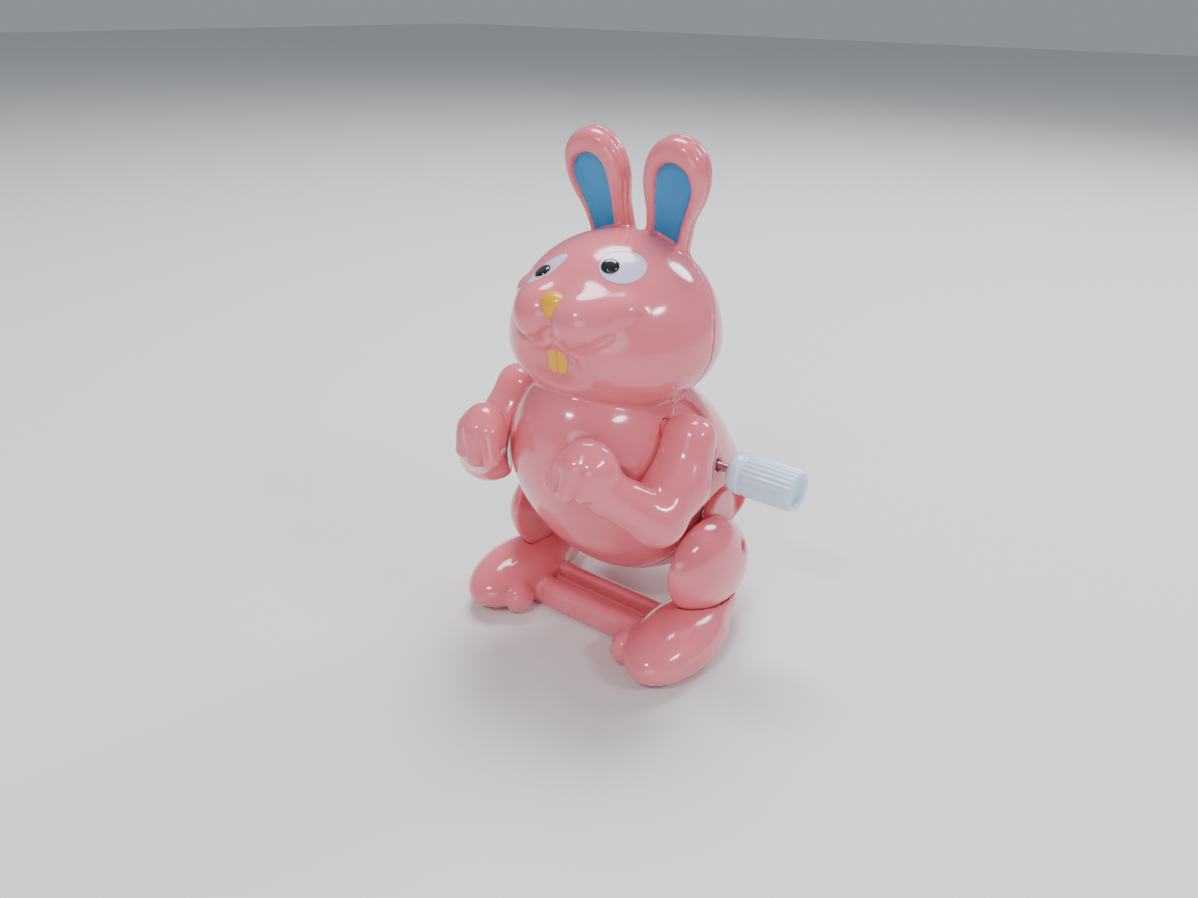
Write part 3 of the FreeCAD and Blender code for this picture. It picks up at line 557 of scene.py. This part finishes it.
def plastic(name, colour, dark, gloss, depth=0.0, glow=None, coat=0.35):
    """Glossy moulded plastic: slight colour drift, uneven gloss, faint mould waviness."""
    mat, tree, shader = material(name)
    drift = noise(tree, 90.0, 4.0)
    tint = ramp(tree, drift, [(0.30, dark), (0.62, colour)])
    tree.links.new(tint, shader.inputs["Base Color"])
    smudge = noise(tree, 260.0, 5.0, 0.6)
    tree.links.new(spread(tree, smudge, gloss * 0.75, gloss * 1.5), shader.inputs["Roughness"])
    shader.inputs["IOR"].default_value = 1.5
    shader.inputs["Coat Weight"].default_value = coat
    shader.inputs["Coat Roughness"].default_value = 0.06
    if depth:
        shader.inputs["Subsurface Weight"].default_value = depth
        shader.inputs["Subsurface Radius"].default_value = glow
        shader.inputs["Subsurface Scale"].default_value = 0.0016
    broad = bump(tree, shader, noise(tree, 130.0, 2.0), 0.0004, 0.02)
    bump(tree, shader, noise(tree, 1500.0, 2.0), 0.00006, 0.06, broad)
    return mat


def metal(name, bright, dull, grain, rough):
    """Worn metal; grain is how fine its marks are along each axis."""
    mat, tree, shader = material(name)
    mapping = tree.nodes.new("ShaderNodeMapping")
    mapping.inputs["Scale"].default_value = grain
    tree.links.new(object_point(tree), mapping.inputs["Vector"])
    lines = add(tree, "ShaderNodeTexNoise", Scale=1.0, Detail=3.0, Roughness=0.6)
    tree.links.new(mapping.outputs["Vector"], lines.inputs["Vector"])
    stain = noise(tree, 500.0, 4.0, 0.6)
    tree.links.new(ramp(tree, stain, [(0.35, dull), (0.60, bright)]), shader.inputs["Base Color"])
    shader.inputs["Metallic"].default_value = 1.0
    marks = lines.outputs["Fac"]
    tree.links.new(spread(tree, marks, rough * 0.7, rough * 1.4), shader.inputs["Roughness"])
    bump(tree, shader, marks, 0.00003, 0.25)
    return mat


PINK = plastic("pink_plastic", (0.82, 0.195, 0.24), (0.78, 0.17, 0.215), 0.13,
               0.22, (1.0, 0.35, 0.25))
YELLOW = plastic("yellow_paint", (0.88, 0.43, 0.003), (0.80, 0.36, 0.002), 0.22, coat=0.1)
WHITE = plastic("white_paint", (0.66, 0.62, 0.86), (0.60, 0.56, 0.80), 0.18)
BLACK = plastic("black_paint", (0.010, 0.011, 0.014), (0.016, 0.018, 0.022), 0.1)
BLUE = plastic("blue_paint", (0.026, 0.27, 0.56), (0.022, 0.23, 0.50), 0.42, coat=0.05)
KNOB = plastic("milky_plastic", (0.62, 0.79, 0.98), (0.56, 0.73, 0.95), 0.3,
               0.35, (0.7, 0.85, 1.0))
STEEL = metal("drawn_steel", (0.56, 0.55, 0.54), (0.36, 0.34, 0.33),
              (40.0, 2500.0, 2500.0), 0.3)
BRASS = metal("stamped_brass", (0.80, 0.60, 0.26), (0.58, 0.40, 0.16),
              (900.0, 900.0, 900.0), 0.32)


# ------------------------------------------------------------------- pieces

def piece(node, points, faces, body, mat, slot):
    """Shows a mesh in place of one CAD node."""
    obj = mesh_object("looks_" + node, points, faces, body, mat)
    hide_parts(node)


def shells():
    for front, name, low, high in (
            (True, "front_shell", (-16, -15.5, 4), (16, 9, 76)),
            (False, "rear_shell", (-16, 0.5, 4), (16, 29, 76))):
        mesh = net(lambda p, f=front: shell_form(p, f), low, high, SHELL_STEP)
        piece(name, *mesh, "torso", PINK, "pink")


def pair(part, form, low, high, bodies):
    """Left piece and its mirror image."""
    mesh = net(form, low, high, LIMB_STEP)
    piece("left_" + part, *mesh, bodies[0], PINK, "pink")
    piece("right_" + part, *mirrored(*mesh), bodies[1], PINK, "pink")


def limbs():
    pair("arm", arm_form, (4, -21, 20), (20.5, 2.5, 40.5), ("left_arm_body", "right_arm_body"))
    pair("thigh", thigh_form, (13, -6, 2.5), (20.5, 18.5, 21.8), ("leg_group", "leg_group"))
    mesh = net(foot_form, (-21.5, -14, -0.8), (21.5, 15.5, 23.2), SHELL_STEP)
    piece("foot_frame", *mesh, "leg_group", PINK, "pink")


def trim(node, form, low, high, step, mat, slot):
    """Small piece that is fixed to the shells."""
    piece(node, *net(form, low, high, step), "torso", mat, slot)


# For each eye: the middle's x and z, slope in degrees, half width, half height, and
# the pupil's x and z.
EYES = {"left": ((5.35, 57.5), -20.0, 2.76, 1.26, (4.24, 57.64)),
        "right": ((-4.35, 56.35), 38.0, 2.5, 0.95, (-4.75, 55.85))}


def eye_outline(p, side):
    """Sloping oval, seen from the front."""
    (x, z), slope, wide, high, _ = EYES[side]
    c = math.cos(math.radians(slope))
    s = math.sin(math.radians(slope))
    u = (p[..., 0] - x) * c + (p[..., 2] - z) * s
    v = -(p[..., 0] - x) * s + (p[..., 2] - z) * c
    return (np.hypot(u / wide, v / high) - 1.0) * 1.5


def eye_white(p, side):
    """Thin plate that follows the face, proud of it by a little."""
    skin = face_form(p)
    plate = np.maximum(skin - 0.06, -0.35 - skin)
    return both(both(plate, eye_outline(p, side), 0.08), p[..., 1] + 0.5, 0.05)


def surface_point(x, z):
    """Where the face's surface is, for a given height and distance from the middle."""
    y = np.arange(-16.0, 0.0, 0.01)
    line = np.stack([np.full_like(y, x), y, np.full_like(y, z)], -1)
    return (x, float(y[np.argmax(face_form(line) < 0)]), z)


def pupil(p, spot):
    """Low round dome on the face."""
    dot = length(p - spot) - 1.22
    return both(dot, face_form(p) - 0.42, 0.55)


def face():
    for side, ((x, z), _, _, _, (px, pz)) in EYES.items():
        y = surface_point(x, z)[1]
        trim(side + "_eye", lambda p, s=side: eye_white(p, s),
             (x - 3.6, y - 4.5, z - 3.2), (x + 3.6, y + 6.0, z + 3.2),
             FINE_STEP, WHITE, "eye_white")
        spot = np.array(surface_point(px, pz))
        trim(side + "_pupil", lambda p, c=spot: pupil(p, c), spot - 2.0, spot + 2.0,
             FINEST_STEP, BLACK, "black")
    spot = surface_point(0, 53.2)
    trim("nose", lambda p, c=spot: nose_form(p, c),
         (-2.6, spot[1] - 2, 50.6), (2.6, spot[1] + 2.6, 56), FINE_STEP, YELLOW, "yellow")
    trim("teeth", teeth_form, (-2.3, -14, 42.0), (2.3, -8.0, 49.5),
         FINEST_STEP, YELLOW, "yellow")


def nose_form(p, spot):
    """Round-cornered triangle, point down."""
    upper = egg(turned(p, (0, spot[1] + 0.3, spot[2] + 0.4)), (2.0, 1.25, 1.25))
    lower = egg(turned(p, (0, spot[1] + 0.1, spot[2] - 0.75)), (1.35, 1.15, 1.15))
    return join(upper, lower, 1.2)


def teeth_form(p):
    """Two front teeth under the muzzle, joined by a thin strip between them."""
    q = mirror_x(p)
    front = -11.3 + 0.1 * (47.5 - p[..., 2]) + 0.05 * p[..., 0] ** 2
    depth = np.maximum(front - p[..., 1], p[..., 1] + 9.6)
    u = np.abs(q[..., 0] - 0.86) - 0.8
    v = np.abs(p[..., 2] - 46.1) - 2.6
    edge = np.hypot(np.maximum(u + 0.6, 0), np.maximum(v + 0.6, 0)) - 0.6
    edge = edge + np.minimum(np.maximum(u + 0.6, v + 0.6), 0)
    tooth = both(depth, edge, 0.35)
    strip = both(depth + 0.22, np.maximum(q[..., 0] - 0.4, v + 0.3), 0.1)
    return join(tooth, strip, 0.03)


def lining_form(p, sign):
    """Plug in one ear's hollow, proud of it by a little; sign tells the side."""
    q = ear_frame(p)
    skin = ear_form(p) - 0.07
    edge = np.maximum(ear_inside(q, 0.12), q[..., 1] + 0.45)
    edge = np.maximum(edge, -face_form(p) - 0.6)
    return both(skin, np.maximum(edge, -p[..., 0] * sign), 0.03)


def linings():
    for side, sign, low, high in (
            ("left", 1, (1.0, 0.0, 56.0), (12.5, 9.5, 74.5)),
            ("right", -1, (-12.5, 0.0, 56.0), (-1.0, 9.5, 74.5))):
        trim(side + "_ear_lining", lambda p, s=sign: lining_form(p, s), low, high,
             LINING_STEP, BLUE, "blue")


KNOB_START = 17.0
KNOB_FLUTES = 26
FLUTE_DEPTH = 0.2
# From the socket that takes the shaft, over the collar and the fluted grip, to the
# dished end: distance along X, radius, and the share of the flutes' full depth.
KNOB_PROFILE = (
    (3.5, 0.02, 0), (3.5, 0.66, 0), (0.35, 0.66, 0), (0.05, 0.9, 0), (0.0, 1.6, 0),
    (0.0, 2.5, 0), (0.12, 2.83, 0), (0.35, 2.98, 0), (0.7, 3.03, 0), (1.5, 3.03, 0),
    (1.75, 2.98, 0), (1.9, 2.86, 0), (2.1, 2.84, 0), (2.3, 2.9, 0.2), (2.45, 2.98, 0.8),
    (2.7, 3.05, 1), (5.0, 3.05, 1), (7.5, 3.05, 1), (9.3, 3.03, 1), (9.65, 2.95, 0.9),
    (9.9, 2.82, 0.5), (10.05, 2.62, 0.1), (10.1, 2.4, 0), (10.05, 2.2, 0), (9.9, 2.08, 0),
    (9.5, 2.02, 0), (9.32, 1.9, 0), (9.25, 1.5, 0), (9.25, 0.8, 0), (9.25, 0.02, 0))


def knob():
    """Fluted winding knob: rings of points along X, joined into quads."""
    count = KNOB_FLUTES * 8
    angles = np.arange(count) * 2 * math.pi / count
    valley = 0.5 - 0.5 * np.cos(angles * KNOB_FLUTES)
    rings = []
    for along, radius, fluted in KNOB_PROFILE:
        reach = radius - FLUTE_DEPTH * fluted * valley
        x = np.full(count, KNOB_START + along)
        y = WIND[0] + reach * np.cos(angles)
        z = WIND[1] + reach * np.sin(angles)
        rings.append(np.stack([x, y, z], -1))
    here = np.arange(count)
    after = (here + 1) % count
    faces = []
    for ring in range(len(rings) - 1):
        a = ring * count
        b = a + count
        faces.append(np.stack([a + here, b + here, b + after, a + after], -1))
    piece("knob", np.concatenate(rings), np.concatenate(faces), "winder", KNOB, "knob_plastic")


def carried_over():
    """Metal finish on the CAD nodes; meshes stand in for the plastic and painted ones."""
    brass = ("great_wheel", "crank_pinion", "crank_wheel", "escape_pinion", "escape_wheel")
    for name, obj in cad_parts.items():
        obj.data.materials.clear()
        obj.data.materials.append(BRASS if name in brass else STEEL)


# ------------------------------------------------------- floor, light, camera

def floor():
    mesh = bpy.data.meshes.new("floor")
    mesh.from_pydata([(-2, -2, 0), (2, -2, 0), (2, 2, 0), (-2, 2, 0)], [], [(0, 1, 2, 3)])
    obj = bpy.data.objects.new("floor", mesh)
    bpy.context.scene.collection.objects.link(obj)
    mat, _, shader = material("pale_floor")
    shader.inputs["Base Color"].default_value = (0.78, 0.77, 0.75, 1)
    shader.inputs["Roughness"].default_value = 0.7
    mesh.materials.append(mat)


def area_light(name, azimuth, elevation, distance, size, power, colour):
    """Oval light aimed at the toy's middle; azimuth 0 is behind it and 90 is at its left side."""
    data = bpy.data.lights.new(name, "AREA")
    data.shape = "ELLIPSE"
    data.size, data.size_y = size
    data.energy = power
    data.color = colour
    obj = bpy.data.objects.new(name, data)
    bpy.context.scene.collection.objects.link(obj)
    across = math.radians(azimuth)
    up = math.radians(elevation)
    aim = Vector((math.sin(across) * math.cos(up), math.cos(across) * math.cos(up), math.sin(up)))
    obj.location = Vector((0, 0, 0.035)) + aim * distance
    obj.rotation_euler = aim.to_track_quat("Z", "Y").to_euler()


def lights():
    area_light("ceiling", -35, 68, 0.60, (0.34, 0.26), 4.2, (0.95, 0.97, 1.0))
    area_light("rear_window", 14, 33, 0.60, (0.14, 0.20), 1.3, (0.90, 0.94, 1.0))
    area_light("side_window", 88, 37, 0.60, (0.16, 0.05), 1.0, (0.90, 0.94, 1.0))
    area_light("front_left", 172, 45, 0.60, (0.10, 0.05), 1.2, (0.95, 0.97, 1.0))
    area_light("low_fill", 150, 12, 0.90, (0.60, 0.40), 1.6, (1.0, 0.96, 0.92))
    world = bpy.data.worlds.new("studio")
    world.use_nodes = True
    back = world.node_tree.nodes["Background"]
    back.inputs["Color"].default_value = (0.80, 0.86, 0.95, 1)
    back.inputs["Strength"].default_value = 0.36
    bpy.context.scene.world = world


def camera():
    """Camera that looks down at the toy's front and left side, with a slight roll."""
    forward = Vector((-0.5382, 0.7211, -0.4363)).normalized()
    across = forward.cross(Vector((0, 0, 1))).normalized()
    down = forward.cross(across)
    roll = math.radians(-0.968)
    right = across * math.cos(roll) + down * math.sin(roll)
    lower = down * math.cos(roll) - across * math.sin(roll)
    data = bpy.data.cameras.new("camera")
    data.sensor_width = 36.0
    data.lens = 28.4
    data.clip_start = 0.005
    obj = bpy.data.objects.new("camera", data)
    bpy.context.scene.collection.objects.link(obj)
    turn = Matrix((right, -lower, -forward)).transposed().to_4x4()
    obj.matrix_world = Matrix.Translation((0.0729, -0.0993, 0.0886)) @ turn
    bpy.context.scene.camera = obj


carried_over()
shells()
limbs()
face()
linings()
knob()
floor()
lights()
camera()
